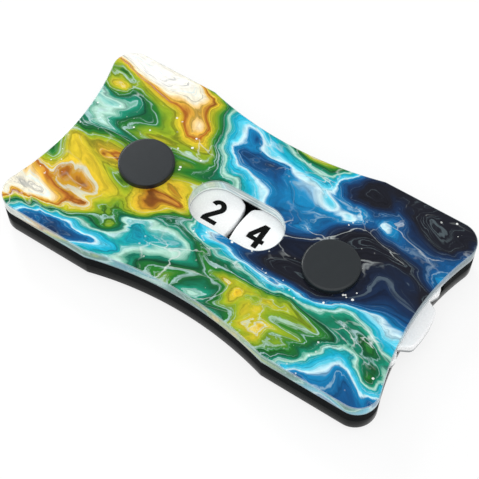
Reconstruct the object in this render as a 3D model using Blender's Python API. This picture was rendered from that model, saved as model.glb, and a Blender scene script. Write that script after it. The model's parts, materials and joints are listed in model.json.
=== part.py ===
# Life counter: a pocket stack of acrylic sheets with two numbered wheels between them.
# Two screwed posts clamp the stack, and each wheel turns freely on one of them.
# Metres, +Z up, origin on the table under the middle of the counter, +X along its length.

import math

import bmesh
import bpy

# Wheels
WHEEL_RADIUS = 0.0219
WHEEL_THICKNESS = 0.0024
WHEEL_EDGE_BEVEL = 0.0003
TIP_GAP = 0.0006
LOBES = 10
NOTCH_DEPTH = 0.0021
NOTCH_ROOT_RADIUS = 0.0004
LOBE_CORNER_RADIUS = 0.0015
NOTCH_HALF_ANGLE = math.radians(47)

# Numerals cut into the top of each wheel
NUMERAL_HEIGHT = 0.00585
NUMERAL_WIDTH = 0.0035
NUMERAL_STEM = 0.0012
NUMERAL_BAR = 0.00098
NUMERAL_DEPTH = 0.0003
NUMERAL_SETBACK = 0.0050
LEFT_READING = 2
RIGHT_READING = 4

# Sheets
PLATE_LENGTH = 0.088
TOP_THICKNESS = 0.0030
BOTTOM_THICKNESS = 0.0030
RIM_WALL = 0.00123
CORNER_RADIUS = 0.00455
END_ARC_RADIUS = 0.0564
SCOOP_LENGTH = 0.042
SCOOP_DEPTH = 0.0029
KINK_RADIUS = 0.0015
WINDOW_LENGTH = 0.0210
WINDOW_WIDTH = 0.0108
SPACER_TIP_WIDTH = 0.0005
CUSP_SETBACK = 0.0003

# Posts and screws
CAP_DIAMETER = 0.0118
CAP_THICKNESS = 0.0012
CAP_EDGE_RADIUS = 0.0004
BARREL_DIAMETER = 0.0050
SCREW_DIAMETER = 0.0034
SCREW_END_ROOM = 0.0006
SCREW_POINT_CHAMFER = 0.0004
SLOT_WIDTH = 0.0012
SLOT_DEPTH = 0.0006
TIGHTENING_ROOM = 0.0008

# Clearances and overruns
LAYER_GAP = 0.0003
WHEEL_CLEARANCE = 0.0003
FIT_CLEARANCE = 0.0003
CUT_OVERRUN = 0.001

# Smoothness
ROUND_STEPS = 48
POCKET_STEPS = 120
ARC_STEPS = 10
NUMERAL_STEPS = 14
TIP_STEPS = 4
ROUNDING_STEPS = 3
SHARP_ANGLE = math.radians(30)
BEVEL_ANGLE = math.radians(60)

# Places that follow from the sizes above
AXLE_SPACING = 2 * WHEEL_RADIUS + TIP_GAP
POCKET_RADIUS = WHEEL_RADIUS + WHEEL_CLEARANCE
PLATE_WIDTH = 2 * (POCKET_RADIUS + RIM_WALL)
MERGE_DISTANCE = FIT_CLEARANCE / 1000
BOTTOM_Z = CAP_THICKNESS + LAYER_GAP
WHEEL_Z = BOTTOM_Z + BOTTOM_THICKNESS + LAYER_GAP
TOP_Z = WHEEL_Z + WHEEL_THICKNESS + LAYER_GAP
CAP_Z = TOP_Z + TOP_THICKNESS + LAYER_GAP
HOLE_DIAMETER = BARREL_DIAMETER + 2 * FIT_CLEARANCE
BARREL_BORE_DIAMETER = SCREW_DIAMETER + 2 * FIT_CLEARANCE
NOTCH_PITCH = 2 * math.pi / LOBES
NUMERAL_RADIUS = WHEEL_RADIUS - NUMERAL_SETBACK


def clear_scene():
    for obj in list(bpy.data.objects):
        bpy.data.objects.remove(obj, do_unlink=True)


def principled(name, colour, roughness, metallic=0.0):
    material = bpy.data.materials.new(name)
    material.use_nodes = True
    shader = material.node_tree.nodes["Principled BSDF"]
    shader.inputs["Base Color"].default_value = (*colour, 1.0)
    shader.inputs["Roughness"].default_value = roughness
    shader.inputs["Metallic"].default_value = metallic
    material.diffuse_color = (*colour, 1.0)
    return material


def add_object(name, bm, material, location=(0, 0, 0)):
    mesh = bpy.data.meshes.new(name)
    bm.to_mesh(mesh)
    bm.free()
    mesh.shade_smooth()
    mesh.set_sharp_from_angle(angle=SHARP_ANGLE)
    mesh.materials.append(material)
    obj = bpy.data.objects.new(name, mesh)
    obj.location = location
    bpy.context.scene.collection.objects.link(obj)
    return obj


def hide_cutter(obj):
    obj.hide_render = True
    obj.display_type = "WIRE"


def cut(obj, cutter):
    modifier = obj.modifiers.new("cut_" + cutter.name, "BOOLEAN")
    modifier.operation = "DIFFERENCE"
    modifier.solver = "EXACT"
    modifier.object = cutter
    modifier.material_mode = "TRANSFER"


# Flat outlines


def arc(centre, radius, start, end, steps=ARC_STEPS):
    """Points on a circle from one angle to another, both ends included."""
    turns = [start + (end - start) * i / steps for i in range(steps + 1)]
    return [(centre[0] + radius * math.cos(t), centre[1] + radius * math.sin(t)) for t in turns]


def circle(centre, radius, steps=ROUND_STEPS):
    return arc(centre, radius, 0, 2 * math.pi, steps)[:-1]


def without_repeats(points):
    """A closed outline with each point that repeats its neighbour left out."""
    kept = []
    for i, point in enumerate(points):
        if not math.isclose(math.dist(point, points[i - 1]), 0, abs_tol=MERGE_DISTANCE):
            kept.append(point)
    return kept


def four_quarters(quarter):
    """Mirror the outline of the first quadrant, which runs from +X round to +Y, into a closed one."""
    left = [(-x, y) for x, y in reversed(quarter)]
    half = quarter + left
    return without_repeats(half + [(x, -y) for x, y in reversed(half)])


def plate_outline():
    """Concave ends, round corners, straight shoulders, and a scooped waist on each long side."""
    half_width = PLATE_WIDTH / 2
    corner = (PLATE_LENGTH / 2 - CORNER_RADIUS, half_width - CORNER_RADIUS)
    end_reach = math.sqrt((END_ARC_RADIUS + CORNER_RADIUS) ** 2 - corner[1] ** 2)
    end_centre = (corner[0] + end_reach, 0)
    end_angle = math.atan2(corner[1], end_reach)
    scoop_radius = ((SCOOP_LENGTH / 2) ** 2 + SCOOP_DEPTH**2) / (2 * SCOOP_DEPTH)
    joined = scoop_radius + KINK_RADIUS
    kink_x = math.sqrt(joined**2 - (joined - SCOOP_DEPTH) ** 2)
    kink_angle = math.atan2(kink_x, joined - SCOOP_DEPTH)
    scoop_centre = (0, half_width - SCOOP_DEPTH + scoop_radius)
    quarter = arc(end_centre, END_ARC_RADIUS, math.pi, math.pi - end_angle)
    quarter += arc(corner, CORNER_RADIUS, -end_angle, math.pi / 2)
    kink = (kink_x, half_width - KINK_RADIUS)
    quarter += arc(kink, KINK_RADIUS, math.pi / 2, math.pi / 2 + kink_angle, ROUNDING_STEPS)
    quarter += arc(scoop_centre, scoop_radius, kink_angle - math.pi / 2, -math.pi / 2)
    return four_quarters(quarter)


def end_edge_x(y):
    """Where the short side of the plate lies at this distance from the middle."""
    corner_y = PLATE_WIDTH / 2 - CORNER_RADIUS
    end_reach = math.sqrt((END_ARC_RADIUS + CORNER_RADIUS) ** 2 - corner_y**2)
    centre_x = PLATE_LENGTH / 2 - CORNER_RADIUS + end_reach
    return centre_x - math.sqrt(END_ARC_RADIUS**2 - y**2)


def spacer_tip_y():
    """How far from the middle the web between wheel pocket and short side is wide enough to keep."""
    low, high = 0, PLATE_WIDTH / 2 - CORNER_RADIUS
    for _ in range(ROUND_STEPS):
        middle = (low + high) / 2
        pocket_x = AXLE_SPACING / 2 + math.sqrt(POCKET_RADIUS**2 - middle**2)
        if end_edge_x(middle) - pocket_x > SPACER_TIP_WIDTH:
            high = middle
        else:
            low = middle
    return max(high, WINDOW_WIDTH / 2)


def window_outline():
    radius = WINDOW_WIDTH / 2
    straight = WINDOW_LENGTH / 2 - radius
    right = arc((straight, 0), radius, -math.pi / 2, math.pi / 2, 2 * ARC_STEPS)
    left = arc((-straight, 0), radius, math.pi / 2, 3 * math.pi / 2, 2 * ARC_STEPS)
    return right + left


def rounded(points, radii, steps):
    """A closed outline with a tangent arc at each corner that has a radius."""
    outline = []
    count = len(points)
    for i, (point, radius) in enumerate(zip(points, radii)):
        if not radius:
            outline.append(point)
            continue
        before, after = points[i - 1], points[(i + 1) % count]
        to_before = math.atan2(before[1] - point[1], before[0] - point[0])
        to_after = math.atan2(after[1] - point[1], after[0] - point[0])
        turn = math.remainder(to_after - to_before, 2 * math.pi)
        middle = to_before + turn / 2
        reach = radius / math.sin(abs(turn) / 2)
        centre = (point[0] + reach * math.cos(middle), point[1] + reach * math.sin(middle))
        sweep = math.copysign(math.pi - abs(turn), turn)
        start = middle + math.pi + sweep / 2
        outline += arc(centre, radius, start, start - sweep, steps)
    return outline


def wheel_outline():
    """Ten round-shouldered lobes with a V notch between each two."""
    notch_width = NOTCH_DEPTH * math.tan(NOTCH_HALF_ANGLE)
    shoulder = math.asin(notch_width / WHEEL_RADIUS)
    points, radii = [], []
    for lobe in range(LOBES):
        middle = lobe * NOTCH_PITCH
        start = middle - NOTCH_PITCH / 2 + shoulder
        root = middle - NOTCH_PITCH / 2
        root_radius = WHEEL_RADIUS - NOTCH_DEPTH
        points.append((root_radius * math.cos(root), root_radius * math.sin(root)))
        radii.append(NOTCH_ROOT_RADIUS)
        tip = arc((0, 0), WHEEL_RADIUS, start, 2 * middle - start, TIP_STEPS)
        points += tip
        radii += [LOBE_CORNER_RADIUS] + [0] * (len(tip) - 2) + [LOBE_CORNER_RADIUS]
    return rounded(points, radii, ROUNDING_STEPS)


# Numerals, drawn as pen strokes in a box that reaches from -1 to 1 both ways


def bend(oval_shares, start_degrees, end_degrees, steps=NUMERAL_STEPS):
    """Points along an oval, given as its centre and its reaches, from one angle to another."""
    (centre_x, centre_y), (reach_x, reach_y) = oval_shares
    turns = arc((0, 0), 1, math.radians(start_degrees), math.radians(end_degrees), steps)
    return [(centre_x + x * reach_x, centre_y + y * reach_y) for x, y in turns]


def in_size(path_shares):
    half_width = (NUMERAL_WIDTH - NUMERAL_STEM) / 2
    half_height = (NUMERAL_HEIGHT - NUMERAL_BAR) / 2
    return [(x * half_width, y * half_height) for x, y in path_shares]


def beside(path, side_sign, closed):
    """One side of a pen stroke along the path, to its left for a positive sign, with mitred bends.

    The pen is wider than it is high, so upright strokes come out heavier than level ones.
    """
    moved = []
    last = len(path) - 1
    for i, point in enumerate(path):
        before = path[i - 1] if i or closed else point
        after = path[(i + 1) % len(path)] if i < last or closed else point
        runs = [(a, b) for a, b in ((before, point), (point, after)) if a != b]
        ways = [math.atan2(b[1] - a[1], b[0] - a[0]) for a, b in runs]
        half_bend = math.remainder(ways[-1] - ways[0], 2 * math.pi) / 2
        side = ways[0] + half_bend + math.pi / 2
        reach = side_sign / math.cos(half_bend)
        x = point[0] + reach * math.cos(side) * NUMERAL_STEM / 2
        y = point[1] + reach * math.sin(side) * NUMERAL_BAR / 2
        moved.append((x, y))
    return moved


def stroke(path_shares):
    """The outline of one pen stroke with square ends, and no holes."""
    path = in_size(path_shares)
    return beside(path, -1, False) + beside(path, 1, False)[::-1], []


def ring(path_shares):
    """The outline of a stroke that closes on itself anticlockwise, and its hole."""
    path = in_size(path_shares)
    return beside(path, -1, True), [beside(path, 1, True)]


def turned_about(points, centre_x, angle):
    """Points moved along X and then turned about the origin."""
    cos, sin = math.cos(angle), math.sin(angle)
    return [((x + centre_x) * cos - y * sin, (x + centre_x) * sin + y * cos) for x, y in points]


def turned_round(strokes):
    """The same strokes, upside down."""
    half_turn = math.pi
    return [
        (turned_about(outer, 0, half_turn), [turned_about(hole, 0, half_turn) for hole in holes])
        for outer, holes in strokes
    ]


def numeral_strokes():
    """The strokes of each numeral from 0 to 9."""
    # A square end stops this share past the box, flush with the sides of the strokes that run along it
    up_share = NUMERAL_BAR / (NUMERAL_HEIGHT - NUMERAL_BAR)
    out_share = NUMERAL_STEM / (NUMERAL_WIDTH - NUMERAL_STEM)
    bottom_share, top_share = -1 - up_share, 1 + up_share
    left_share, right_share = -1 - out_share, 1 + out_share

    # Ovals as wide as the box: round ends, two stacked rings that share a waist, and one large bowl
    round_share = (NUMERAL_WIDTH - NUMERAL_STEM) / (NUMERAL_HEIGHT - NUMERAL_BAR)
    waist_share = 0.06
    bowl_share = 0.10
    head_shares = (0, 1 - round_share), (1, round_share)
    seat_shares = (0, round_share - 1), (1, round_share)
    upper_shares = (0, (1 + waist_share) / 2), (1, (1 - waist_share) / 2)
    lower_shares = (0, (waist_share - 1) / 2), (1, (1 + waist_share) / 2)
    bowl_shares = (0, (bowl_share - 1) / 2), (1, (1 + bowl_share) / 2)
    full_steps = 2 * NUMERAL_STEPS

    zero = [ring(bend(head_shares, 0, 180) + bend(seat_shares, 180, 360))]

    one_stem_shares = [(0.2, bottom_share), (0.2, top_share)]
    one_flag_shares = [(-0.9, 0.42), (0.3, 0.86)]
    one = [stroke(one_stem_shares), stroke(one_flag_shares)]

    tail_shares = [(-0.74, -0.66), (-0.93, -0.84), (-1, -1)]
    two_foot_shares = [(left_share, -1), (right_share, -1)]
    two = [stroke(bend(head_shares, 172, -32) + tail_shares), stroke(two_foot_shares)]

    waist_end_shares = [(-0.35, waist_share)]
    three = [
        stroke(bend(upper_shares, 168, -90) + waist_end_shares),
        stroke(bend(lower_shares, -168, 90) + waist_end_shares),
    ]

    # The four is a little wider than the rest, on its open side
    bar_share = -0.42
    stem_share = 0.42
    point_share = left_share - 0.34
    heel_share = bar_share + up_share
    slope_shares = [
        (stem_share, top_share),
        (-0.20, top_share),
        (point_share, bar_share + 1.4 * up_share),
        (point_share, bar_share),
        (-0.86, bar_share),
        (-0.86, heel_share),
        (stem_share - out_share, 0.40),
    ]
    bar_shares = [(point_share, bar_share), (right_share, bar_share)]
    four_stem_shares = [(stem_share, bottom_share), (stem_share, top_share)]
    four = [(in_size(slope_shares), []), stroke(bar_shares), stroke(four_stem_shares)]

    five_back_shares = [(-0.76, 1), (-0.79, -0.02)]
    five_top_shares = [(-0.76 - out_share, 1), (0.88 + out_share / 2, 1)]
    five = [stroke(bend(bowl_shares, 148, -168)), stroke(five_back_shares), stroke(five_top_shares)]

    spine_end_shares = [(-1, (bowl_share - 1) / 2)]
    spine_shares = bend(head_shares, 14, 180) + spine_end_shares
    six = [ring(bend(bowl_shares, 0, 360, full_steps)[:-1]), stroke(spine_shares)]

    leg_shares = [(1 - out_share / 4, 1), (0.42, 0.42), (0.06, -0.22), (-0.14, -0.8), (-0.18, bottom_share)]
    seven_top_shares = [(left_share, 1), (right_share, 1)]
    seven = [stroke(leg_shares), stroke(seven_top_shares)]

    eight = [ring(bend(shares, 0, 360, full_steps)[:-1]) for shares in (upper_shares, lower_shares)]

    return [zero, one, two, three, four, five, six, seven, eight, turned_round(six)]


# Solids


def add_prism(bm, outline, holes, low, high):
    """Add a flat shape with holes, extruded from one height to another."""
    new_edges = []
    for loop in [outline] + holes:
        verts = [bm.verts.new((x, y, low)) for x, y in loop]
        new_edges += [bm.edges.new((verts[i - 1], verts[i])) for i in range(len(verts))]
    filled = bmesh.ops.triangle_fill(bm, edges=new_edges, use_beauty=True)
    faces = [item for item in filled["geom"] if isinstance(item, bmesh.types.BMFace)]
    extruded = bmesh.ops.extrude_face_region(bm, geom=faces)
    top = [item for item in extruded["geom"] if isinstance(item, bmesh.types.BMVert)]
    bmesh.ops.translate(bm, verts=top, vec=(0, 0, high - low))


def prism(outline, holes, low, high):
    bm = bmesh.new()
    add_prism(bm, outline, holes, low, high)
    bmesh.ops.recalc_face_normals(bm, faces=bm.faces[:])
    return bm


def turned_solid(profile):
    """Spin a profile of (radius, height) points, which starts and ends on the Z axis."""
    bm = bmesh.new()
    verts = [bm.verts.new((radius, 0, height)) for radius, height in profile]
    edges = [bm.edges.new(pair) for pair in zip(verts, verts[1:])]
    around = {"axis": (0, 0, 1), "cent": (0, 0, 0), "angle": 2 * math.pi, "steps": ROUND_STEPS}
    bmesh.ops.spin(bm, geom=verts + edges, **around)
    bmesh.ops.remove_doubles(bm, verts=bm.verts[:], dist=MERGE_DISTANCE)
    bmesh.ops.recalc_face_normals(bm, faces=bm.faces[:])
    return bm


def make_plate(name, low, thickness, openings, material):
    """One outer sheet: the plate outline with a hole for each post and any further openings."""
    holes = [circle((side * AXLE_SPACING / 2, 0), HOLE_DIAMETER / 2) for side in (-1, 1)]
    sheet = prism(plate_outline(), holes + openings, 0, thickness)
    return add_object(name, sheet, material, (0, 0, low))


def make_spacer(name, side, material):
    """The middle sheet on one long side, cut back to clear both wheels."""
    spacer = add_object(name, prism(plate_outline(), [], 0, WHEEL_THICKNESS), material, (0, 0, WHEEL_Z))
    below, above = -CUT_OVERRUN, WHEEL_THICKNESS + CUT_OVERRUN
    pockets = bmesh.new()
    for x in (-AXLE_SPACING / 2, AXLE_SPACING / 2):
        add_prism(pockets, circle((x, 0), POCKET_RADIUS, POCKET_STEPS), [], below, above)
    bmesh.ops.recalc_face_normals(pockets, faces=pockets.faces[:])
    far = PLATE_LENGTH / 2 + CUT_OVERRUN
    deep = -PLATE_WIDTH / 2 - CUT_OVERRUN
    cusp_y = WINDOW_WIDTH / 2 + CUSP_SETBACK
    tip_y = spacer_tip_y()
    middle_x = AXLE_SPACING / 2
    outline = [(-far, deep), (far, deep), (far, tip_y), (middle_x, tip_y)]
    outline += [(middle_x, cusp_y), (-middle_x, cusp_y), (-middle_x, tip_y), (-far, tip_y)]
    outline = [(x, side * y) for x, y in outline]
    other_half = prism(without_repeats(outline), [], below, above)
    for cutter_name, shape in (("_pockets", pockets), ("_other_half", other_half)):
        cutter = add_object(name + cutter_name, shape, material, (0, 0, WHEEL_Z))
        hide_cutter(cutter)
        cut(spacer, cutter)
    return spacer


def make_wheel(name, side, reading, material, ink):
    """A lobed wheel whose numerals stand upright on the side that faces the window."""
    axle = (side * AXLE_SPACING / 2, 0, WHEEL_Z)
    bore = circle((0, 0), HOLE_DIAMETER / 2)
    wheel = add_object(name, prism(wheel_outline(), [bore], 0, WHEEL_THICKNESS), material, axle)
    edge = wheel.modifiers.new("edge", "BEVEL")
    edge.width = WHEEL_EDGE_BEVEL
    edge.segments = 1
    edge.limit_method = "ANGLE"
    edge.angle_limit = BEVEL_ANGLE
    numerals = numeral_strokes()
    floor, above = WHEEL_THICKNESS - NUMERAL_DEPTH, WHEEL_THICKNESS + CUT_OVERRUN
    # Strokes of one numeral cross, so each layer of cutters holds one stroke of every numeral
    for layer in range(max(len(strokes) for strokes in numerals)):
        bm = bmesh.new()
        for number, strokes in enumerate(numerals):
            turn = (reading - number) * NOTCH_PITCH
            for outer, holes in strokes[layer : layer + 1]:
                loops = [turned_about(loop, -side * NUMERAL_RADIUS, turn) for loop in [outer] + holes]
                add_prism(bm, loops[0], loops[1:], floor, above)
        bmesh.ops.recalc_face_normals(bm, faces=bm.faces[:])
        cutter = add_object(f"{name}_strokes_{layer}", bm, ink, axle)
        hide_cutter(cutter)
        cut(wheel, cutter)
    return wheel


def cap_edge(height, towards):
    """The rounded outer edge of a cap, from its flat face at this height, towards the other face."""
    radius = CAP_DIAMETER / 2 - CAP_EDGE_RADIUS
    centre_z = height + towards * CAP_EDGE_RADIUS
    return arc((radius, centre_z), CAP_EDGE_RADIUS, -towards * math.pi / 2, 0, ROUNDING_STEPS)


def make_post(name, side, material):
    """Blank cap and barrel in one piece, bored from below for its screw."""
    low = BOTTOM_Z + TIGHTENING_ROOM - CAP_Z
    bore_top = -LAYER_GAP - TOP_THICKNESS / 2
    profile = [(0, CAP_THICKNESS)]
    profile += cap_edge(CAP_THICKNESS, -1)
    profile += [(CAP_DIAMETER / 2, 0), (BARREL_DIAMETER / 2, 0), (BARREL_DIAMETER / 2, low)]
    profile += [(BARREL_BORE_DIAMETER / 2, low), (BARREL_BORE_DIAMETER / 2, bore_top), (0, bore_top)]
    return add_object(name, turned_solid(profile), material, (side * AXLE_SPACING / 2, 0, CAP_Z))


def make_screw(name, side, material):
    """Slotted screw that comes up from below into the barrel of its post."""
    point_z = CAP_Z - LAYER_GAP - TOP_THICKNESS / 2 - SCREW_END_ROOM
    radius = SCREW_DIAMETER / 2
    profile = [(0, 0)]
    profile += cap_edge(0, 1)
    profile += [(CAP_DIAMETER / 2, CAP_THICKNESS), (radius, CAP_THICKNESS)]
    profile += [(radius, point_z - SCREW_POINT_CHAMFER), (radius - SCREW_POINT_CHAMFER, point_z)]
    profile += [(0, point_z)]
    screw = add_object(name, turned_solid(profile), material, (side * AXLE_SPACING / 2, 0, 0))
    reach = CAP_DIAMETER / 2 + CUT_OVERRUN
    half = SLOT_WIDTH / 2
    corners = [(-reach, -half), (reach, -half), (reach, half), (-reach, half)]
    bar = prism(corners, [], -CUT_OVERRUN, SLOT_DEPTH)
    slot = add_object(name + "_slot", bar, material, screw.location)
    hide_cutter(slot)
    cut(screw, slot)
    return screw


def build():
    clear_scene()
    printed = principled("printed_acrylic", (0.12, 0.42, 0.50), 0.15)
    black = principled("black_acrylic", (0.012, 0.012, 0.014), 0.12)
    white = principled("white_acrylic", (0.86, 0.88, 0.90), 0.22)
    ink = principled("numeral_ink", (0.010, 0.010, 0.012), 0.5)
    cap = principled("satin_black_cap", (0.060, 0.066, 0.072), 0.5)
    make_plate("bottom_plate", BOTTOM_Z, BOTTOM_THICKNESS, [], black)
    make_spacer("rear_spacer", 1, black)
    make_spacer("front_spacer", -1, black)
    make_wheel("left_wheel", -1, LEFT_READING, white, ink)
    make_wheel("right_wheel", 1, RIGHT_READING, white, ink)
    make_plate("top_plate", TOP_Z, TOP_THICKNESS, [window_outline()], printed)
    for side, prefix in ((-1, "left"), (1, "right")):
        make_post(prefix + "_post", side, cap)
        make_screw(prefix + "_screw", side, cap)


build()
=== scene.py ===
# Life counter: three layers of acrylic sheet on two binding posts, with a lobed number wheel on each post.
# The sections follow the counter as it is put together, from the bottom plate up to the caps and screws.

import json
import math

import bmesh
import bpy
from mathutils import Matrix, Vector


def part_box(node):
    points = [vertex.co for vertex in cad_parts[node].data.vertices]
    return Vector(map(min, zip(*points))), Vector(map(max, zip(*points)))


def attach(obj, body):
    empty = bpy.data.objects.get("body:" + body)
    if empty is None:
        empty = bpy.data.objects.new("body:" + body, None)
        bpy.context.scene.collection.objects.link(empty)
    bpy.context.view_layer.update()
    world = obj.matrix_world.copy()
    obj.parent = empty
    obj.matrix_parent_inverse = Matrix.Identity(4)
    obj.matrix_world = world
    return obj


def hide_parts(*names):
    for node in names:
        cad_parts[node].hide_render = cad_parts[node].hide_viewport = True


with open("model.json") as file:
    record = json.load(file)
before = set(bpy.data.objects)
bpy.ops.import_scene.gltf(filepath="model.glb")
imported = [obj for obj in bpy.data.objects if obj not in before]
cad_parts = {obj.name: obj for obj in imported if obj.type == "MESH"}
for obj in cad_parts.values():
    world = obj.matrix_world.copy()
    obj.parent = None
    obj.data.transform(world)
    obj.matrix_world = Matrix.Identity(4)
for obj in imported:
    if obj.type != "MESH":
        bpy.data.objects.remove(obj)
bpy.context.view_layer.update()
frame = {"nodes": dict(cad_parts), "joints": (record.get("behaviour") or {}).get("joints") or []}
bpy.ops.object.select_all(action="DESELECT")


# Bottom plate
# A sheet of black acrylic, laser-cut to a waisted outline with hollow ends and round corners.
# The cut leaves polished edges with faint upright striations and a rim that a thumb can't feel.

underside_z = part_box("bottom_plate")[0].z
lower_seam_z = (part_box("bottom_plate")[1].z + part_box("front_spacer")[0].z) / 2
upper_seam_z = (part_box("front_spacer")[1].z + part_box("top_plate")[0].z) / 2
face_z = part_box("top_plate")[1].z
hairline = 0.00001
half_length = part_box("bottom_plate")[1].x - hairline
half_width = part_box("bottom_plate")[1].y - hairline
axle_x = frame["joints"][1]["pos_m"][0]

corner_radius = 0.00455
end_hollow_radius = 0.0564
waist_half_length = 0.021
waist_depth = 0.0029
kink_radius = 0.0012
end_steps, corner_steps, kink_steps, waist_steps = 28, 32, 5, 40
post_hole_radius = 0.0028
post_hole_steps = 96
sheet_rim = 0.00012
seed_size = 0.001
level_normal = 0.999
smooth_below = math.radians(35)

laser_lines_scale = (5200, 5200, 160)
laser_haze_scale = 90.0
laser_lines_bump = 0.35
gloss_black = (0.006, 0.0075, 0.0075, 1)
gloss_grey = (0.012, 0.0135, 0.013, 1)
gloss_black_shine = 0.03


def select_flat_faces(obj, way):
    """Selects the level faces that look up (way 1) or down (way -1), in edit mode."""
    bpy.context.tool_settings.mesh_select_mode = (False, False, True)
    bpy.ops.mesh.select_all(action="DESELECT")
    bm = bmesh.from_edit_mesh(obj.data)
    for face in bm.faces:
        face.select_set(face.normal.z * way > level_normal)
    bmesh.update_edit_mesh(obj.data)


def round_rim(obj, way, radius, steps=3):
    """Rounds the rim of the level side that looks up or down, and leaves a narrow flat ring inside it."""
    select_flat_faces(obj, way)
    for i in range(steps):
        start, end = math.radians(90 * i / steps), math.radians(90 * (i + 1) / steps)
        inward = radius * (math.cos(start) - math.cos(end))
        outward = radius * (math.sin(end) - math.sin(start))
        bpy.ops.mesh.inset(thickness=inward, depth=outward, use_even_offset=True)
    bpy.ops.mesh.inset(thickness=radius / 3, depth=0, use_even_offset=True)


def start_at_point(name, point):
    """A new mesh object at the origin, left in edit mode with a single point in it."""
    bpy.ops.mesh.primitive_plane_add(size=seed_size, location=point)
    bpy.ops.object.transform_apply(location=True, rotation=False, scale=False)
    obj = bpy.context.object
    obj.name = obj.data.name = name
    bpy.ops.object.mode_set(mode="EDIT")
    bpy.context.tool_settings.mesh_select_mode = (True, False, False)
    bpy.ops.mesh.select_all(action="SELECT")
    bpy.ops.mesh.merge(type="CENTER")
    return obj


def apply_modifiers(obj):
    """Applies all of an object's modifiers in their order."""
    for modifier in list(obj.modifiers):
        bpy.ops.object.modifier_apply(modifier=modifier.name)


def draw_sheet_outline(name, z):
    """The sheets' outline as one closed loop: a quarter is drawn by spinning a point, and mirrored twice."""
    corner = Vector((half_length - corner_radius, half_width - corner_radius, z))
    reach = math.sqrt((end_hollow_radius + corner_radius) ** 2 - corner.y**2)
    end_centre = Vector((corner.x + reach, 0, z))
    end_sweep = math.asin(corner.y / (end_hollow_radius + corner_radius))
    waist_radius = (waist_half_length**2 + waist_depth**2) / (2 * waist_depth)
    kink_drop = waist_radius + kink_radius - waist_depth
    kink_x = math.sqrt((waist_radius + kink_radius) ** 2 - kink_drop**2)
    kink_sweep = math.atan2(kink_x, kink_drop)
    kink_centre = Vector((kink_x, half_width - kink_radius, z))
    waist_centre = Vector((0, half_width - waist_depth + waist_radius, z))

    obj = start_at_point(name, (end_centre.x - end_hollow_radius, 0, z))
    around = {"axis": (0, 0, 1)}
    bpy.ops.mesh.spin(steps=end_steps, angle=end_sweep, center=end_centre, **around)
    bpy.ops.mesh.spin(steps=corner_steps, angle=-end_sweep - math.pi / 2, center=corner, **around)
    straight = kink_x - corner.x
    bpy.ops.mesh.extrude_region_move(TRANSFORM_OT_translate={"value": (straight, 0, 0)})
    bpy.ops.mesh.spin(steps=kink_steps, angle=-kink_sweep, center=kink_centre, **around)
    bpy.ops.mesh.spin(steps=waist_steps, angle=kink_sweep, center=waist_centre, **around)
    bpy.ops.object.mode_set(mode="OBJECT")
    mirror = obj.modifiers.new("mirror", "MIRROR")
    mirror.use_axis = (True, True, False)
    mirror.merge_threshold = hairline
    apply_modifiers(obj)
    bpy.ops.object.mode_set(mode="EDIT")
    return obj


def fill_and_raise(obj, height):
    """Fills the loops of the mesh, leaving inner loops open, and raises the sheet to a solid."""
    bpy.context.tool_settings.mesh_select_mode = (False, True, False)
    bpy.ops.mesh.select_all(action="SELECT")
    bpy.ops.mesh.fill(use_beauty=True)
    bpy.ops.mesh.select_all(action="SELECT")
    bpy.ops.mesh.extrude_region_move(TRANSFORM_OT_translate={"value": (0, 0, height)})
    bpy.ops.mesh.select_all(action="SELECT")
    bpy.ops.mesh.normals_make_consistent(inside=False)


def finish_piece(obj):
    """Smooth shading on the curved sides and rims, with the level faces kept flat."""
    bpy.ops.object.mode_set(mode="OBJECT")
    bpy.ops.object.shade_smooth_by_angle(angle=smooth_below)
    bpy.ops.object.mode_set(mode="EDIT")
    for way in (1, -1):
        select_flat_faces(obj, way)
        bpy.ops.mesh.faces_shade_flat()
    bpy.ops.object.mode_set(mode="OBJECT")
    bpy.ops.object.select_all(action="DESELECT")


def cut_circle(x, radius, z):
    """Adds a round hole on an axle to the outline that is being drawn."""
    bpy.ops.mesh.primitive_circle_add(vertices=post_hole_steps, radius=radius, location=(x, 0, z))


def make_material(name, roughness):
    """A new material of one roughness, with its shader."""
    material = bpy.data.materials.new(name)
    material.use_nodes = True
    shader = material.node_tree.nodes["Principled BSDF"]
    shader.inputs["Roughness"].default_value = roughness
    return material, shader


def add_node(tree, kind, **settings):
    """A new node with these settings."""
    node = tree.nodes.new(kind)
    for key, value in settings.items():
        setattr(node, key, value)
    return node


def join(tree, sockets, values):
    """Links or sets sockets in order; None leaves a socket as it is."""
    for socket, value in zip(sockets, values):
        if isinstance(value, bpy.types.NodeSocket):
            tree.links.new(value, socket)
        elif value is not None:
            socket.default_value = value


def noise(tree, coordinates, scale, detail=2.0, roughness=0.5):
    """A noise texture; a scale of 1000 has grains of about a millimetre."""
    node = add_node(tree, "ShaderNodeTexNoise")
    node.inputs["Scale"].default_value = scale
    node.inputs["Detail"].default_value = detail
    node.inputs["Roughness"].default_value = roughness
    tree.links.new(coordinates, node.inputs["Vector"])
    return node


def mapped(tree, coordinates, location=(0, 0, 0), degrees=0, scale=(1, 1, 1)):
    """The coordinates scaled, then turned about Z, then moved."""
    node = add_node(tree, "ShaderNodeMapping")
    node.inputs["Location"].default_value = location
    node.inputs["Rotation"].default_value = (0, 0, math.radians(degrees))
    node.inputs["Scale"].default_value = scale
    tree.links.new(coordinates, node.inputs["Vector"])
    return node.outputs["Vector"]


def in_range(tree, factor, low, high, low_value, high_value, smooth=False):
    """Maps a factor from one range to another, clamped."""
    node = add_node(tree, "ShaderNodeMapRange")
    node.interpolation_type = "SMOOTHSTEP" if smooth else "LINEAR"
    join(tree, node.inputs, (factor, low, high, low_value, high_value))
    return node.outputs["Result"]


def number_math(tree, operation, first, second=None, third=None):
    """The result of one step of sums on numbers."""
    node = add_node(tree, "ShaderNodeMath", operation=operation)
    join(tree, node.inputs, (first, second, third))
    return node.outputs["Value"]


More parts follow.
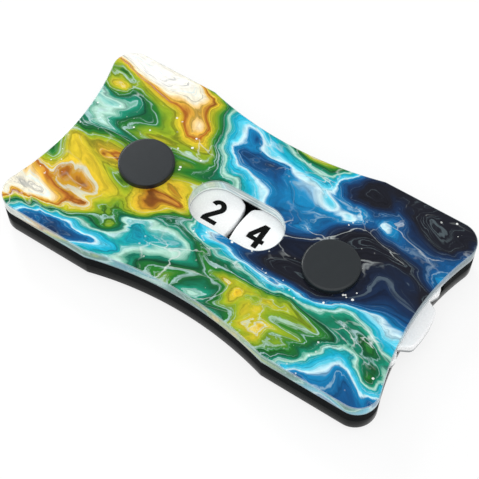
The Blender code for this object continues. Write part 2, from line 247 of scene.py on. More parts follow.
def colour_mix(tree, factor, first, second, blend_type="MIX"):
    """Mixes the second colour into the first, or blends it in another way."""
    node = add_node(tree, "ShaderNodeMix", data_type="RGBA", blend_type=blend_type)
    join(tree, (node.inputs[0], node.inputs[6], node.inputs[7]), (factor, first, second))
    return node.outputs[2]


def object_place(tree):
    """The place on the object, in metres."""
    return add_node(tree, "ShaderNodeTexCoord").outputs["Object"]


def add_bump(tree, shader, height, strength, distance):
    """Raises a texture by a distance in metres."""
    bump = add_node(tree, "ShaderNodeBump")
    bump.inputs["Strength"].default_value = strength
    bump.inputs["Distance"].default_value = distance
    tree.links.new(height, bump.inputs["Height"])
    tree.links.new(bump.outputs["Normal"], shader.inputs["Normal"])


def cut_edge_finish(tree, shader, gloss_low, gloss_high, depth):
    """Fine upright striations that a laser leaves, in the roughness and the bump."""
    place = object_place(tree)
    lines = noise(tree, mapped(tree, place, scale=laser_lines_scale), 1.0, 4.0).outputs["Fac"]
    haze = noise(tree, place, laser_haze_scale, 3.0).outputs["Fac"]
    rough = in_range(tree, number_math(tree, "MULTIPLY", lines, haze), 0.12, 0.42, gloss_low, gloss_high)
    tree.links.new(rough, shader.inputs["Roughness"])
    add_bump(tree, shader, lines, laser_lines_bump, depth)
    return lines


black_gloss, shader = make_material("black_acrylic", 0.12)
tree = black_gloss.node_tree
shader.inputs["Specular IOR Level"].default_value = gloss_black_shine
lines = cut_edge_finish(tree, shader, 0.14, 0.30, 0.000004)
streaked = colour_mix(tree, lines, gloss_black, gloss_grey)
tree.links.new(streaked, shader.inputs["Base Color"])

bottom = draw_sheet_outline("bottom_sheet", underside_z + sheet_rim)
for x in (-axle_x, axle_x):
    cut_circle(x, post_hole_radius, underside_z + sheet_rim)
fill_and_raise(bottom, lower_seam_z - hairline - underside_z - 2 * sheet_rim)
for way in (1, -1):
    round_rim(bottom, way, sheet_rim)
finish_piece(bottom)
bottom.data.materials.append(black_gloss)
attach(bottom, "case")
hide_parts("bottom_plate")


# Spacers
# The middle layer is matt black sheet. A front and a rear strip keep the plates apart,
# each cut back in two round bays so that the wheels can turn between them.

bay_radius = 0.0222
bay_steps = 256
cusp_y = -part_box("front_spacer")[1].y
tip_y = 0.01087
cutter_height = 0.01

matt_black = (0.003, 0.004, 0.0045, 1)
matt_grey = (0.006, 0.0075, 0.008, 1)
matt_black_shine = 0.02

spacer_black, shader = make_material("matt_black_acrylic", 0.7)
tree = spacer_black.node_tree
shader.inputs["Specular IOR Level"].default_value = matt_black_shine
lines = cut_edge_finish(tree, shader, 0.6, 0.8, 0.000006)
streaked = colour_mix(tree, lines, matt_black, matt_grey)
tree.links.new(streaked, shader.inputs["Base Color"])

bays = []
middle_z = (lower_seam_z + upper_seam_z) / 2
for x in (-axle_x, axle_x):
    bpy.ops.mesh.primitive_cylinder_add(
        vertices=bay_steps, radius=bay_radius, depth=cutter_height, location=(x, 0, middle_z)
    )
    bays.append(bpy.context.object)
for x, width in ((0, 2 * cusp_y), (-half_length, 2 * tip_y), (half_length, 2 * tip_y)):
    bpy.ops.mesh.primitive_cube_add(size=1, location=(x, 0, middle_z), scale=(axle_x, width, cutter_height))
    bays.append(bpy.context.object)
bpy.ops.object.select_all(action="DESELECT")

middle = draw_sheet_outline("middle_sheet", lower_seam_z + hairline)
fill_and_raise(middle, upper_seam_z - lower_seam_z - 2 * hairline)
bpy.ops.object.mode_set(mode="OBJECT")
for bay in bays:
    cut = middle.modifiers.new("bay", "BOOLEAN")
    cut.operation = "DIFFERENCE"
    cut.object = bay
apply_modifiers(middle)
for bay in bays:
    bpy.data.objects.remove(bay, do_unlink=True)
bpy.ops.object.mode_set(mode="EDIT")
bpy.ops.mesh.select_all(action="SELECT")
bpy.ops.mesh.separate(type="LOOSE")
bpy.ops.object.mode_set(mode="OBJECT")
strips = [obj for obj in bpy.context.selected_objects if obj.type == "MESH"]
for strip in strips:
    rear = sum(v.co.y for v in strip.data.vertices) > 0
    strip.name = strip.data.name = "rear_strip" if rear else "front_strip"
    bpy.ops.object.select_all(action="DESELECT")
    strip.select_set(True)
    bpy.context.view_layer.objects.active = strip
    finish_piece(strip)
    strip.data.materials.append(spacer_black)
    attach(strip, "case")
    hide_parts("rear_spacer" if rear else "front_spacer")


# Wheels
# Each wheel is white acrylic with ten lobes, a V notch between each two for the thumb,
# and the numerals 0 to 9 engraved and filled with black paint.

wheel_radius = 0.0219
notch_depth = 0.0021
notch_half_angle = math.radians(47)
notch_root_radius = 0.0004
lobe_corner_radius = 0.0015
wheel_bore_radius = 0.0028
wheel_rim = 0.00035
wheel_rim_steps = 5
running_gap = 0.00006
engraving = 0.0003
paint_recess = 0.00003
lobes = 10
crown_steps, shoulder_steps, root_steps = 10, 8, 4

milky_white = (0.945, 0.96, 0.97, 1)
bright_white = (0.98, 0.985, 0.99, 1)
milky_share = 0.35
milky_depth = 0.001
# Painted shade: the grey that darkens the foot of each wheel's side, down by the bottom plate
wheel_foot_shade_grey = (0.20, 0.22, 0.23, 1)
wheel_shade_full_height = 0.0009
wheel_shade_height = 0.0012
filled_black = (0.0005, 0.001, 0.001, 1)
filled_grey = (0.002, 0.003, 0.003, 1)
filled_shine = 0.06


def three_parts(tree, coordinates):
    """The X, Y and Z parts of a place."""
    split = add_node(tree, "ShaderNodeSeparateXYZ")
    tree.links.new(coordinates, split.inputs["Vector"])
    return split.outputs


wheel_white, shader = make_material("white_acrylic", 0.22)
tree = wheel_white.node_tree
shader.inputs["Subsurface Weight"].default_value = milky_share
shader.inputs["Subsurface Radius"].default_value = (1.0, 1.0, 1.0)
shader.inputs["Subsurface Scale"].default_value = milky_depth
place = object_place(tree)
cloud = noise(tree, place, 260.0).outputs["Fac"]
milky = colour_mix(tree, cloud, milky_white, bright_white)
_, _, height = three_parts(tree, place)
# Painted shade: below a height just above the bottom plate, the wheel's side is mixed towards grey
wheel_foot_shade = in_range(tree, height, lower_seam_z + wheel_shade_full_height, lower_seam_z + wheel_shade_height, 0.9, 0.0, True)
wheel_foot_shaded = colour_mix(tree, wheel_foot_shade, milky, wheel_foot_shade_grey)
tree.links.new(wheel_foot_shaded, shader.inputs["Base Color"])
grain = noise(tree, place, 2600.0).outputs["Fac"]
tree.links.new(in_range(tree, grain, 0.3, 0.7, 0.20, 0.32), shader.inputs["Roughness"])
add_bump(tree, shader, grain, 0.1, 0.000004)

paint_black, shader = make_material("numeral_paint", 0.4)
tree = paint_black.node_tree
shader.inputs["Specular IOR Level"].default_value = filled_shine
brushed = noise(tree, object_place(tree), 1800.0, 3.0).outputs["Fac"]
uneven = colour_mix(tree, brushed, filled_black, filled_grey)
tree.links.new(uneven, shader.inputs["Base Color"])
tree.links.new(in_range(tree, brushed, 0.3, 0.7, 0.32, 0.5), shader.inputs["Roughness"])
add_bump(tree, shader, brushed, 0.25, 0.00001)


def draw_wheel_outline(name, centre_x, z):
    """One half lobe drawn by spinning a point, mirrored, and copied ten times round the axle."""
    hub = Vector((centre_x, 0, z))
    ray = Vector((math.cos(math.pi / lobes), math.sin(math.pi / lobes), 0))
    tangent = Vector((ray.y, -ray.x, 0))
    flank = math.cos(notch_half_angle) * ray + math.sin(notch_half_angle) * tangent
    inward = -math.sin(notch_half_angle) * ray + math.cos(notch_half_angle) * tangent
    root = ray * (wheel_radius - notch_depth)
    start = root + lobe_corner_radius * inward
    along = start.dot(flank)
    rounded_reach = wheel_radius - lobe_corner_radius
    flank_length = -along + math.sqrt(along**2 - start.length_squared + rounded_reach**2)
    shoulder = start + flank_length * flank
    root_start = notch_root_radius / math.tan(notch_half_angle)
    root_centre = ray * (wheel_radius - notch_depth + notch_root_radius / math.sin(notch_half_angle))

    shoulder_angle = math.atan2(shoulder.y, shoulder.x)
    outward_angle = math.atan2(-inward.y, -inward.x)
    obj = start_at_point(name, hub + Vector((wheel_radius, 0, 0)))
    around = {"axis": (0, 0, 1)}
    bpy.ops.mesh.spin(steps=crown_steps, angle=-shoulder_angle, center=hub, **around)
    turn = outward_angle - shoulder_angle
    bpy.ops.mesh.spin(steps=shoulder_steps, angle=-turn, center=hub + shoulder, **around)
    slide = -(flank_length - root_start) * flank
    bpy.ops.mesh.extrude_region_move(TRANSFORM_OT_translate={"value": slide})
    root_turn = math.pi / 2 - notch_half_angle
    bpy.ops.mesh.spin(steps=root_steps, angle=root_turn, center=hub + root_centre, **around)
    bpy.ops.mesh.select_all(action="SELECT")
    bpy.ops.mesh.duplicate()
    bpy.ops.transform.resize(value=(1, -1, 1), center_override=hub)
    bpy.ops.mesh.select_all(action="SELECT")
    bpy.ops.mesh.spin(steps=lobes, dupli=True, angle=2 * math.pi, center=hub, **around)
    bpy.ops.mesh.select_all(action="SELECT")
    bpy.ops.mesh.remove_doubles(threshold=hairline)
    return obj


def numeral_sheet(name, node, z, height):
    """The floors of the engraved numerals of a CAD wheel, moved to a height and raised to solids."""
    source = frame["nodes"][node]
    floor_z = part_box(node)[1].z - engraving
    obj = bpy.data.objects.new(name, source.data.copy())
    bpy.context.scene.collection.objects.link(obj)
    obj.data.materials.clear()
    obj.select_set(True)
    bpy.context.view_layer.objects.active = obj
    bpy.ops.object.mode_set(mode="EDIT")
    bpy.ops.mesh.select_all(action="SELECT")
    bpy.ops.mesh.remove_doubles(threshold=hairline / 10)
    select_flat_faces(obj, 1)
    bm = bmesh.from_edit_mesh(obj.data)
    for face in bm.faces:
        face.select_set(face.select and abs(face.calc_center_median().z - floor_z) < engraving / 10)
    bmesh.update_edit_mesh(obj.data)
    bpy.ops.mesh.select_all(action="INVERT")
    bpy.ops.mesh.delete(type="FACE")
    bpy.ops.mesh.select_all(action="SELECT")
    bpy.ops.transform.translate(value=(0, 0, z - floor_z))
    bpy.ops.mesh.extrude_region_move(TRANSFORM_OT_translate={"value": (0, 0, height)})
    bpy.ops.mesh.select_all(action="SELECT")
    bpy.ops.mesh.normals_make_consistent(inside=False)
    bpy.ops.object.mode_set(mode="OBJECT")
    bpy.ops.object.select_all(action="DESELECT")
    return obj


wheel_low_z = lower_seam_z + running_gap
wheel_top_z = upper_seam_z - running_gap
for side, node in ((-1, "left_wheel"), (1, "right_wheel")):
    engraved_z = wheel_top_z - engraving
    paint = numeral_sheet(node + "_numerals", node, engraved_z, engraving - paint_recess)
    cutter = numeral_sheet(node + "_cutter", node, engraved_z, 2 * engraving)
    bpy.ops.object.select_all(action="DESELECT")
    wheel = draw_wheel_outline(node + "_disc", side * axle_x, wheel_low_z + wheel_rim)
    cut_circle(side * axle_x, wheel_bore_radius, wheel_low_z + wheel_rim)
    fill_and_raise(wheel, wheel_top_z - wheel_low_z - 2 * wheel_rim)
    for way in (1, -1):
        round_rim(wheel, way, wheel_rim, wheel_rim_steps)
    bpy.ops.object.mode_set(mode="OBJECT")
    cut = wheel.modifiers.new("engraving", "BOOLEAN")
    cut.operation = "DIFFERENCE"
    cut.use_self = True
    cut.object = cutter
    apply_modifiers(wheel)
    bpy.data.objects.remove(cutter, do_unlink=True)
    finish_piece(wheel)
    wheel.data.materials.append(wheel_white)
    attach(wheel, node)
    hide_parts(node)
    paint.data.materials.append(paint_black)
    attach(paint, node)


# Top plate
# A sheet of clear acrylic with a colour print on its upper face and a round-ended window.
# Its cut edges are painted bright and take on the colours of the print beside them as a painted refraction,
# with painted highlights and shade.

window_half_length = 0.0105
window_radius = 0.0054
window_steps = 128
near_window = 1.1
top_rim = 0.00016
upright_below = 0.05

# Each push of the swirl: the scale of its noise, how far it pushes in metres, and its detail
swirl_pushes = ((30.0, 0.034, 2.0), (95.0, 0.0090, 2.0), (420.0, 0.0016, 4.0))
deep_wash = (0.18, 0.22, 0.30, 1)
pale_streak = (0.62, 0.84, 0.90, 1)
lace_white = (0.84, 0.90, 0.88, 1)
drop_white = (0.90, 0.93, 0.90, 1)
print_shine = 0.12

print_tree = bpy.data.node_groups.new("marbled_print", "ShaderNodeTree")
print_tree.interface.new_socket("Place", in_out="INPUT", socket_type="NodeSocketVector")
print_tree.interface.new_socket("Color", in_out="OUTPUT", socket_type="NodeSocketColor")


def vector_math(tree, operation, first, second=None, scale=None):
    """The result of one step of sums on places or directions."""
    node = add_node(tree, "ShaderNodeVectorMath", operation=operation)
    join(tree, node.inputs, (first, second))
    if scale is not None:
        join(tree, (node.inputs["Scale"],), (scale,))
    return node.outputs["Vector"]


def warp(tree, coordinates, scale, amount, detail=2.0):
    """Pushes the coordinates about with a colour noise, so that what reads them swirls."""
    push = noise(tree, coordinates, scale, detail).outputs["Color"]
    centred = vector_math(tree, "SUBTRACT", push, (0.5, 0.5, 0.5))
    return vector_math(tree, "ADD", coordinates, vector_math(tree, "SCALE", centred, scale=amount))


# Flowing inks: one level runs over the whole sheet, and a colour ramp turns it into bands
tree = print_tree
flat = vector_math(tree, "MULTIPLY", add_node(tree, "NodeGroupInput").outputs["Place"], (1, 1, 0))
swirl = mapped(tree, flat, (2.1, 1.7, 0.9), 20, (0.80, 1.45, 1))
for push_scale, push, push_detail in swirl_pushes:
    swirl = warp(tree, swirl, push_scale, push, push_detail)
flat_x, flat_y, _ = three_parts(tree, flat)
bands = noise(tree, swirl, 34.0, 1.5).outputs["Fac"]
spread = number_math(tree, "MULTIPLY_ADD", bands, 2.0, -0.50)
drift = number_math(tree, "MULTIPLY_ADD", flat_y, 1.5, in_range(tree, flat_x, -0.044, 0.044, -0.11, 0.15))
level = number_math(tree, "ADD", spread, drift)
ink = add_node(tree, "ShaderNodeValToRGB")
tree.links.new(level, ink.inputs["Fac"])
ink_shares = (
    (0.10, (0.93, 0.92, 0.86)),
    (0.20, (0.90, 0.83, 0.62)),
    (0.245, (0.86, 0.50, 0.06)),
    (0.275, (0.40, 0.10, 0.012)),
    (0.30, (0.78, 0.55, 0.03)),
    (0.345, (0.30, 0.42, 0.015)),
    (0.385, (0.02, 0.20, 0.02)),
    (0.42, (0.004, 0.10, 0.035)),
    (0.455, (0.008, 0.28, 0.17)),
    (0.485, (0.46, 0.74, 0.62)),
    (0.51, (0.01, 0.36, 0.36)),
    (0.56, (0.006, 0.42, 0.62)),
    (0.60, (0.10, 0.62, 0.80)),
    (0.625, (0.62, 0.84, 0.90)),
    (0.645, (0.006, 0.24, 0.50)),
    (0.70, (0.004, 0.09, 0.26)),
    (0.77, (0.006, 0.025, 0.08)),
    (0.86, (0.008, 0.009, 0.016)),
)
elements = ink.color_ramp.elements
elements[0].position, elements[1].position = ink_shares[0][0], ink_shares[-1][0]
for share, _ in ink_shares[1:-1]:
    elements.new(share)
for element, (share, colour) in zip(elements, ink_shares):
    element.position = share
    element.color = (*colour, 1)
printed = ink.outputs["Color"]

# Streaks that follow the bands, dark and light
swirl_x, swirl_y, _ = three_parts(tree, swirl)
along = add_node(tree, "ShaderNodeCombineXYZ")
join(tree, along.inputs, [number_math(tree, "MULTIPLY", part, 60.0) for part in (level, swirl_x, swirl_y)])
streak = noise(tree, along.outputs["Vector"], 1.0, 4.0, 0.6).outputs["Fac"]
deeper = colour_mix(tree, 1.0, printed, deep_wash, "MULTIPLY")
printed = colour_mix(tree, in_range(tree, streak, 0.52, 0.68, 0.0, 0.62, True), printed, deeper)
paleness = in_range(tree, level, 0.64, 0.74, 0.50, 0.10)
pale = number_math(tree, "MULTIPLY", in_range(tree, streak, 0.45, 0.33, 0.0, 1.0, True), paleness)
printed = colour_mix(tree, pale, printed, pale_streak)

# White lace where cells of ink meet, and a spatter of small drops
cells = add_node(tree, "ShaderNodeTexVoronoi", feature="DISTANCE_TO_EDGE")
join(tree, (cells.inputs["Vector"], cells.inputs["Scale"]), (warp(tree, swirl, 260.0, 0.004, 3.0), 120.0))
lace = in_range(tree, cells.outputs["Distance"], 0.0, 0.035, 1.0, 0.0)
lace_patch = in_range(tree, noise(tree, swirl, 75.0).outputs["Fac"], 0.52, 0.66, 0.0, 0.6)
printed = colour_mix(tree, number_math(tree, "MULTIPLY", lace, lace_patch), printed, lace_white)
drops = add_node(tree, "ShaderNodeTexVoronoi", feature="F1")
join(tree, (drops.inputs["Vector"], drops.inputs["Scale"]), (warp(tree, flat, 900.0, 0.0003), 900.0))
chance = number_math(tree, "FRACT", number_math(tree, "MULTIPLY", drops.outputs["Color"], 7.0))
drop = number_math(tree, "LESS_THAN", drops.outputs["Distance"], in_range(tree, chance, 0.6, 1.0, 0.0, 0.26))
drop_patch = in_range(tree, noise(tree, flat, 60.0, 3.0).outputs["Fac"], 0.52, 0.60, 0.0, 1.0)
printed = colour_mix(tree, number_math(tree, "MULTIPLY", drop, drop_patch), printed, drop_white)

# Grain of the ink
ink_grain = in_range(tree, noise(tree, swirl, 700.0, 5.0, 0.65).outputs["Fac"], 0.25, 0.75, 0.74, 1.24)
grey = add_node(tree, "ShaderNodeCombineColor")
join(tree, grey.inputs, (ink_grain, ink_grain, ink_grain))
printed = colour_mix(tree, 1.0, printed, grey.outputs["Color"], "MULTIPLY")
tree.links.new(printed, add_node(tree, "NodeGroupOutput").inputs["Color"])

printed_face, shader = make_material("printed_face", 0.2)
tree = printed_face.node_tree
shader.inputs["Specular IOR Level"].default_value = print_shine
place = object_place(tree)
design = add_node(tree, "ShaderNodeGroup", node_tree=print_tree)
tree.links.new(place, design.inputs["Place"])
tree.links.new(design.outputs["Color"], shader.inputs["Base Color"])
peel = noise(tree, place, 1500.0, 3.0).outputs["Fac"]
tree.links.new(in_range(tree, peel, 0.3, 0.7, 0.11, 0.15), shader.inputs["Roughness"])
add_bump(tree, shader, peel, 0.04, 0.000002)


seen_way_in = 0.0043
seen_slope = 1.38


def print_seen_inside(tree, height):
    """What a cut wall shows, as a painted refraction: the print some way in from it, and further in for its
    upper part.
    """
    rise = number_math(tree, "SUBTRACT", height, upper_seam_z)
    way_in = number_math(tree, "MULTIPLY_ADD", rise, -seen_slope, -seen_way_in)
    outward = add_node(tree, "ShaderNodeNewGeometry").outputs["Normal"]
    design = add_node(tree, "ShaderNodeGroup", node_tree=print_tree)
    inside = vector_math(tree, "ADD", object_place(tree), vector_math(tree, "SCALE", outward, scale=way_in))
    tree.links.new(inside, design.inputs["Place"])
    return design.outputs["Color"]


# The outer edge, coloured with painted light: heights are above the underside of the sheet, and depths below
# its face
edge_tint = (0.29, 0.44, 0.49, 1)
edge_top_light = (0.60, 0.74, 0.80, 1)
edge_foot_shade = (0.10, 0.17, 0.20, 1)
edge_foot_light = (0.80, 0.87, 0.90, 1)
edge_striation = (0.75, 0.82, 0.86, 1)
edge_shine = 0.2
edge_top_depth = 0.0008
shade_full_height, shade_height = 0.0002, 0.0009
light_full_height, light_height = 0.0006, 0.0018
wheel_side_inset, strip_side_inset = 0.0015, 0.0005

clear_edge, shader = make_material("clear_acrylic_edge", 0.12)
tree = clear_edge.node_tree
shader.inputs["Specular IOR Level"].default_value = edge_shine
lines = cut_edge_finish(tree, shader, 0.06, 0.20, 0.000002)
_, across, height = three_parts(tree, object_place(tree))
# Painted refraction: the print from inside the sheet, mixed with the edge's tint
tinted = colour_mix(tree, 0.38, print_seen_inside(tree, height), edge_tint)
# Painted highlight: the edge is lighter just below the printed face
top_light = in_range(tree, height, face_z - edge_top_depth, face_z - edge_top_depth / 2, 0.0, 0.22, True)
tinted = colour_mix(tree, top_light, tinted, edge_top_light)
above_foot = number_math(tree, "SUBTRACT", height, upper_seam_z)
# Painted shade: the foot of the edge is darker where it stands over the black strips
foot_shade = in_range(tree, above_foot, shade_full_height, shade_height, 0.6, 0.0, True)
from_middle = number_math(tree, "ABSOLUTE", across)
over_strip = in_range(tree, from_middle, tip_y - wheel_side_inset, tip_y - strip_side_inset, 0.0, 1.0)
foot_shade = number_math(tree, "MULTIPLY", foot_shade, over_strip)
tinted = colour_mix(tree, foot_shade, tinted, edge_foot_shade)
# Painted highlight: the foot of the edge is lighter beside the white wheels
foot_light = in_range(tree, above_foot, light_full_height, light_height, 0.7, 0.0, True)
foot_light = number_math(tree, "MULTIPLY", foot_light, number_math(tree, "SUBTRACT", 1.0, over_strip))
tinted = colour_mix(tree, foot_light, tinted, edge_foot_light)
striated = colour_mix(tree, in_range(tree, lines, 0.3, 0.7, 0.0, 0.10), tinted, edge_striation)
tree.links.new(striated, shader.inputs["Base Color"])

# The window's wall, whiter and with level streaks: a painted refraction of the print, streaks of painted
# highlight and shade, and a painted highlight above a painted shadow at its foot
wall_tint = (0.86, 0.98, 0.91, 1)
wall_light = (0.96, 0.99, 0.98, 1)
wall_shade = (0.20, 0.36, 0.30, 1)
wall_foot_light = (0.96, 0.98, 0.97, 1)
wall_foot_shade = (0.08, 0.11, 0.11, 1)
wall_shine = 0.8
wall_light_height, wall_light_full_height = 0.0010, 0.0006
wall_shade_full_height, wall_shade_height = 0.0002, 0.0005

window_wall, shader = make_material("window_wall", 0.12)
tree = window_wall.node_tree
shader.inputs["Specular IOR Level"].default_value = wall_shine
cut_edge_finish(tree, shader, 0.06, 0.20, 0.000002)
place = object_place(tree)
_, _, height = three_parts(tree, place)
level_streaks = noise(tree, mapped(tree, place, scale=(110, 110, 1900)), 1.0, 3.0).outputs["Fac"]
# Painted refraction of the print inside the sheet, whitened
tinted = colour_mix(tree, 0.60, print_seen_inside(tree, height), wall_tint)
# Painted highlights in level streaks
light_streaks = in_range(tree, level_streaks, 0.50, 0.62, 0.0, 0.8, True)
tinted = colour_mix(tree, light_streaks, tinted, wall_light)
# Painted shade in level streaks
dark_streaks = in_range(tree, level_streaks, 0.42, 0.32, 0.0, 0.35, True)
tinted = colour_mix(tree, dark_streaks, tinted, wall_shade)
above_foot = number_math(tree, "SUBTRACT", height, upper_seam_z)
# Painted highlight just above the foot of the wall
foot_light = in_range(tree, above_foot, wall_light_height, wall_light_full_height, 0.0, 0.7, True)
tinted = colour_mix(tree, foot_light, tinted, wall_foot_light)
# Painted shadow at the foot of the wall, over the wheels
foot_shade = in_range(tree, above_foot, wall_shade_full_height, wall_shade_height, 0.8, 0.0, True)
tinted = colour_mix(tree, foot_shade, tinted, wall_foot_shade)
tree.links.new(tinted, shader.inputs["Base Color"])

# The rim between the print and the edge, painted lighter as a highlight where the sheet catches the light
rim_shade = (0.36, 0.48, 0.53, 1)
rim_light = (0.58, 0.68, 0.72, 1)

clear_rim, shader = make_material("clear_acrylic_rim", 0.1)
tree = clear_rim.node_tree
place = object_place(tree)
design = add_node(tree, "ShaderNodeGroup", node_tree=print_tree)
tree.links.new(place, design.inputs["Place"])
sparkle = noise(tree, place, 3000.0, 3.0).outputs["Fac"]
tree.links.new(in_range(tree, sparkle, 0.3, 0.7, 0.06, 0.2), shader.inputs["Roughness"])
# Painted highlight: light greys mixed into the print on the rim
bright = colour_mix(tree, sparkle, rim_shade, rim_light)
tree.links.new(colour_mix(tree, 0.42, design.outputs["Color"], bright), shader.inputs["Base Color"])

top_low_z = upper_seam_z + hairline
top = draw_sheet_outline("top_sheet", top_low_z + top_rim)
for x in (-axle_x, axle_x):
    cut_circle(x, post_hole_radius, top_low_z + top_rim)
bpy.ops.mesh.select_all(action="DESELECT")
bpy.ops.mesh.primitive_circle_add(
    vertices=window_steps,
    radius=window_radius,
    location=(0, 0, top_low_z + top_rim),
    rotation=(0, 0, math.pi / window_steps),
)
for way in (-1, 1):
    bpy.context.tool_settings.mesh_select_mode = (True, False, False)
    bpy.ops.mesh.select_all(action="DESELECT")
    bm = bmesh.from_edit_mesh(top.data)
    for vert in bm.verts:
        on_window = vert.co.to_2d().length < window_half_length
        vert.select_set(on_window and 0 < vert.co.x * way < window_half_length)
    bmesh.update_edit_mesh(top.data)
    bpy.ops.transform.translate(value=(way * (window_half_length - window_radius), 0, 0))
fill_and_raise(top, face_z - top_low_z - 2 * top_rim)
for way in (1, -1):
    round_rim(top, way, top_rim)
for finish in (clear_edge, printed_face, clear_rim, window_wall):
    top.data.materials.append(finish)
bm = bmesh.from_edit_mesh(top.data)
for face in bm.faces:
    spot = face.calc_center_median()
    at_window = abs(spot.x) < near_window * window_half_length and abs(spot.y) < near_window * window_radius
    if face.normal.z > level_normal:
        face.material_index = 1
    elif face.normal.z > upright_below:
        face.material_index = 2
    elif face.normal.z > -upright_below and at_window:
        face.material_index = 3
bmesh.update_edit_mesh(top.data)
finish_piece(top)
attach(top, "case")
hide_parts("top_plate")


# Posts
# Each is one charcoal moulding: a flat blank cap over a barrel on which the wheel turns.
# The barrel is bored from below for the screw.

cap_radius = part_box("left_post")[1].x + axle_x
cap_top_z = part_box("left_post")[1].z
cap_edge_radius = 0.0005
barrel_radius = 0.0025
barrel_bore_radius = 0.0020
barrel_low_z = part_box("left_post")[0].z
barrel_bore_top_z = face_z - 0.0015
turn_steps = 96

charcoal_dark = (0.0085, 0.0120, 0.0145, 1)
charcoal_light = (0.0110, 0.0152, 0.0182, 1)
charcoal_shine = 0.3

cap_charcoal, shader = make_material("charcoal_plastic", 0.3)
tree = cap_charcoal.node_tree
shader.inputs["Specular IOR Level"].default_value = charcoal_shine
place = object_place(tree)
mottle = noise(tree, place, 700.0, 3.0).outputs["Fac"]
charcoal = colour_mix(tree, mottle, charcoal_dark, charcoal_light)
tree.links.new(charcoal, shader.inputs["Base Color"])
tree.links.new(in_range(tree, mottle, 0.3, 0.7, 0.30, 0.325), shader.inputs["Roughness"])
add_bump(tree, shader, noise(tree, place, 4200.0).outputs["Fac"], 0.25, 0.000005)


def turn_profile(name, centre_x, profile):
    """A solid turned from a profile of (radius, height) points that starts and ends on the axle."""
    obj = start_at_point(name, (centre_x + profile[0][0], 0, profile[0][1]))
    for (r0, z0), (r1, z1) in zip(profile, profile[1:]):
        bpy.ops.mesh.extrude_region_move(TRANSFORM_OT_translate={"value": (r1 - r0, 0, z1 - z0)})
    bpy.ops.mesh.select_all(action="SELECT")
    bpy.ops.mesh.spin(steps=turn_steps, angle=2 * math.pi, center=(centre_x, 0, 0), axis=(0, 0, 1))
    bpy.ops.mesh.select_all(action="SELECT")
    bpy.ops.mesh.remove_doubles(threshold=hairline)
    bpy.ops.mesh.normals_make_consistent(inside=False)
    return obj


def edge_arc(radius, z, way, steps=6):
    """The rounded edge of a cap, from its flat side at this height towards the other side."""
    points = []
    for i in range(steps + 1):
        angle = math.radians(90 * i / steps)
        inset = cap_edge_radius * (1 - math.sin(angle))
        points.append((radius - inset, z + way * cap_edge_radius * (1 - math.cos(angle))))
    return points


for side, prefix in ((-1, "left"), (1, "right")):
    profile = [(0, cap_top_z), (cap_radius - 2 * cap_edge_radius, cap_top_z)]
    profile += edge_arc(cap_radius, cap_top_z, -1)
    profile += [(cap_radius, face_z + hairline), (barrel_radius, face_z + hairline)]
    profile += [(barrel_radius, barrel_low_z), (barrel_bore_radius, barrel_low_z)]
    profile += [(barrel_bore_radius, barrel_bore_top_z), (0, barrel_bore_top_z)]
    post = turn_profile(prefix + "_cap_and_barrel", side * axle_x, profile)
    finish_piece(post)
    post.data.materials.append(cap_charcoal)
    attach(post, "case")
    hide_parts(prefix + "_post")


# Screws
# A slotted screw of the same charcoal plastic closes each post from below,
# and its flat head is what the counter rests on.

shank_radius = 0.0017
shank_top_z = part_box("left_screw")[1].z
point_chamfer = 0.0004
slot_width = 0.0012
slot_depth = 0.0006

for side, prefix in ((-1, "left"), (1, "right")):
    profile = [(0, 0), (cap_radius - 2 * cap_edge_radius, 0)]
    profile += edge_arc(cap_radius, 0, 1)
    profile += [(cap_radius, underside_z - hairline), (shank_radius, underside_z - hairline)]
    profile += [(shank_radius, shank_top_z - point_chamfer), (shank_radius - point_chamfer, shank_top_z)]
    profile += [(0, shank_top_z)]
    screw = turn_profile(prefix + "_slotted_screw", side * axle_x, profile)
    bpy.ops.object.mode_set(mode="OBJECT")
    bpy.ops.object.select_all(action="DESELECT")
    bpy.ops.mesh.primitive_cube_add(
        size=1, location=(side * axle_x, 0, 0), scale=(4 * cap_radius, slot_width, 2 * slot_depth)
    )
    blade = bpy.context.object
    bpy.ops.object.select_all(action="DESELECT")
    screw.select_set(True)
    bpy.context.view_layer.objects.active = screw
    cut = screw.modifiers.new("slot", "BOOLEAN")
    cut.operation = "DIFFERENCE"
    cut.object = blade
    apply_modifiers(screw)
    bpy.data.objects.remove(blade, do_unlink=True)
    finish_piece(screw)
    screw.data.materials.append(cap_charcoal)
    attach(screw, "case")
    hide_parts(prefix + "_screw")


# Table and light
# A plain white table in a white surround, which light the counter less than they show behind it.
# Three soft lamps do the rest: a wide one above, one behind on the left, and a low one for the caps' edges.

table_radius = 1.5
table_glow = 0.78
surround_light = 0.45

bpy.ops.mesh.primitive_circle_add(vertices=96, radius=table_radius, fill_type="NGON", location=(0, 0, 0))
table = bpy.context.object
table.name = "table"


def seen_as_background(tree):
    """1 for rays from the camera, a reflection or a clear piece, and 0 for rays that light the counter."""
    rays = add_node(tree, "ShaderNodeLightPath").outputs
    mirrored = number_math(tree, "MAXIMUM", rays["Is Glossy Ray"], rays["Is Transmission Ray"])
    return number_math(tree, "MAXIMUM", rays["Is Camera Ray"], mirrored)


white_table, shader = make_material("white_table", 0.9)
tree = white_table.node_tree
shader.inputs["Base Color"].default_value = (1.0, 1.0, 1.0, 1)
shader.inputs["Specular IOR Level"].default_value = 0.0
glow = add_node(tree, "ShaderNodeMixShader")
tree.links.new(number_math(tree, "MULTIPLY", seen_as_background(tree), table_glow), glow.inputs["Fac"])
tree.links.new(shader.outputs["BSDF"], glow.inputs[1])
tree.links.new(add_node(tree, "ShaderNodeEmission").outputs["Emission"], glow.inputs[2])
tree.links.new(glow.outputs["Shader"], tree.nodes["Material Output"].inputs["Surface"])
table.data.materials.append(white_table)
bpy.ops.object.select_all(action="DESELECT")

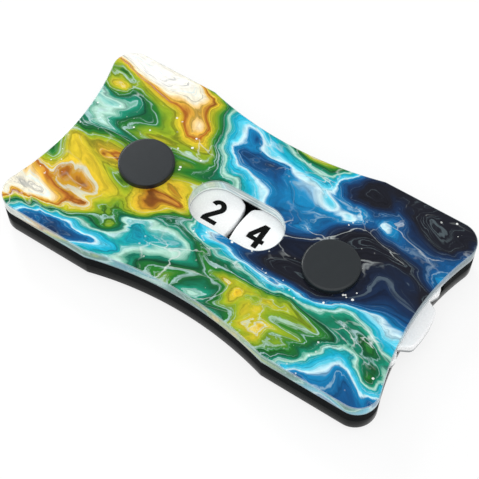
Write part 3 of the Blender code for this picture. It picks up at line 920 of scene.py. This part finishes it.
world = bpy.data.worlds.new("surround")
bpy.context.scene.world = world
world.use_nodes = True
tree = world.node_tree
surround = tree.nodes["Background"]
surround.inputs["Color"].default_value = (1, 1, 1, 1)
seen = seen_as_background(tree)
strength = number_math(tree, "MULTIPLY_ADD", seen, 1 - surround_light, surround_light)
tree.links.new(strength, surround.inputs["Strength"])


def soft_lamp(name, azimuth, elevation, distance, size, power):
    """A square lamp aimed at the counter. Azimuth 0 is in front, on the -Y side, and 90 on the +X side."""
    around, above = math.radians(azimuth), math.radians(elevation)
    reach = math.cos(above)
    away = Vector((math.sin(around) * reach, -math.cos(around) * reach, math.sin(above)))
    bpy.ops.object.light_add(type="AREA", location=away * distance)
    lamp = bpy.context.object
    lamp.name = name
    lamp.data.size = size
    lamp.data.energy = power
    lamp.rotation_mode = "QUATERNION"
    lamp.rotation_quaternion = away.to_track_quat("Z", "Y")
    bpy.ops.object.select_all(action="DESELECT")


soft_lamp("side_lamp", -125, 38, 0.5, 0.13, 0.66)
soft_lamp("edge_lamp", -92, 16, 0.5, 0.11, 0.70)
soft_lamp("high_lamp", 34, 60, 0.9, 1.60, 8.1)


# Camera
# It stands in front and to the right, well above the table, at a long focal length.

camera_azimuth = math.radians(33.94)
camera_elevation = math.radians(58.954)
camera_roll = math.radians(-0.553)
camera_distance = 0.24774
aim = Vector((0.00378, -0.00448, 0.0105))
picture_size = 479
focal_length_in_pixels = 1247.756
film_width = 36

back = Vector(
    (
        math.sin(camera_azimuth) * math.cos(camera_elevation),
        -math.cos(camera_azimuth) * math.cos(camera_elevation),
        math.sin(camera_elevation),
    )
)
level_right = Vector((math.cos(camera_azimuth), math.sin(camera_azimuth), 0))
level_up = back.cross(level_right)
right = math.cos(camera_roll) * level_right + math.sin(camera_roll) * level_up
up = math.cos(camera_roll) * level_up - math.sin(camera_roll) * level_right
half_pixel = camera_distance / focal_length_in_pixels / 2
bpy.ops.object.camera_add()
camera = bpy.context.object
camera.name = "camera"
camera.matrix_world = Matrix.Translation(aim + back * camera_distance + (up - right) * half_pixel) @ (
    Matrix((right, up, back)).transposed().to_4x4()
)
camera.data.sensor_width = film_width
camera.data.lens = film_width * focal_length_in_pixels / picture_size
camera.data.clip_start = 0.01
camera.data.clip_end = 10
bpy.context.scene.camera = camera
bpy.context.scene.view_settings.view_transform = "Standard"
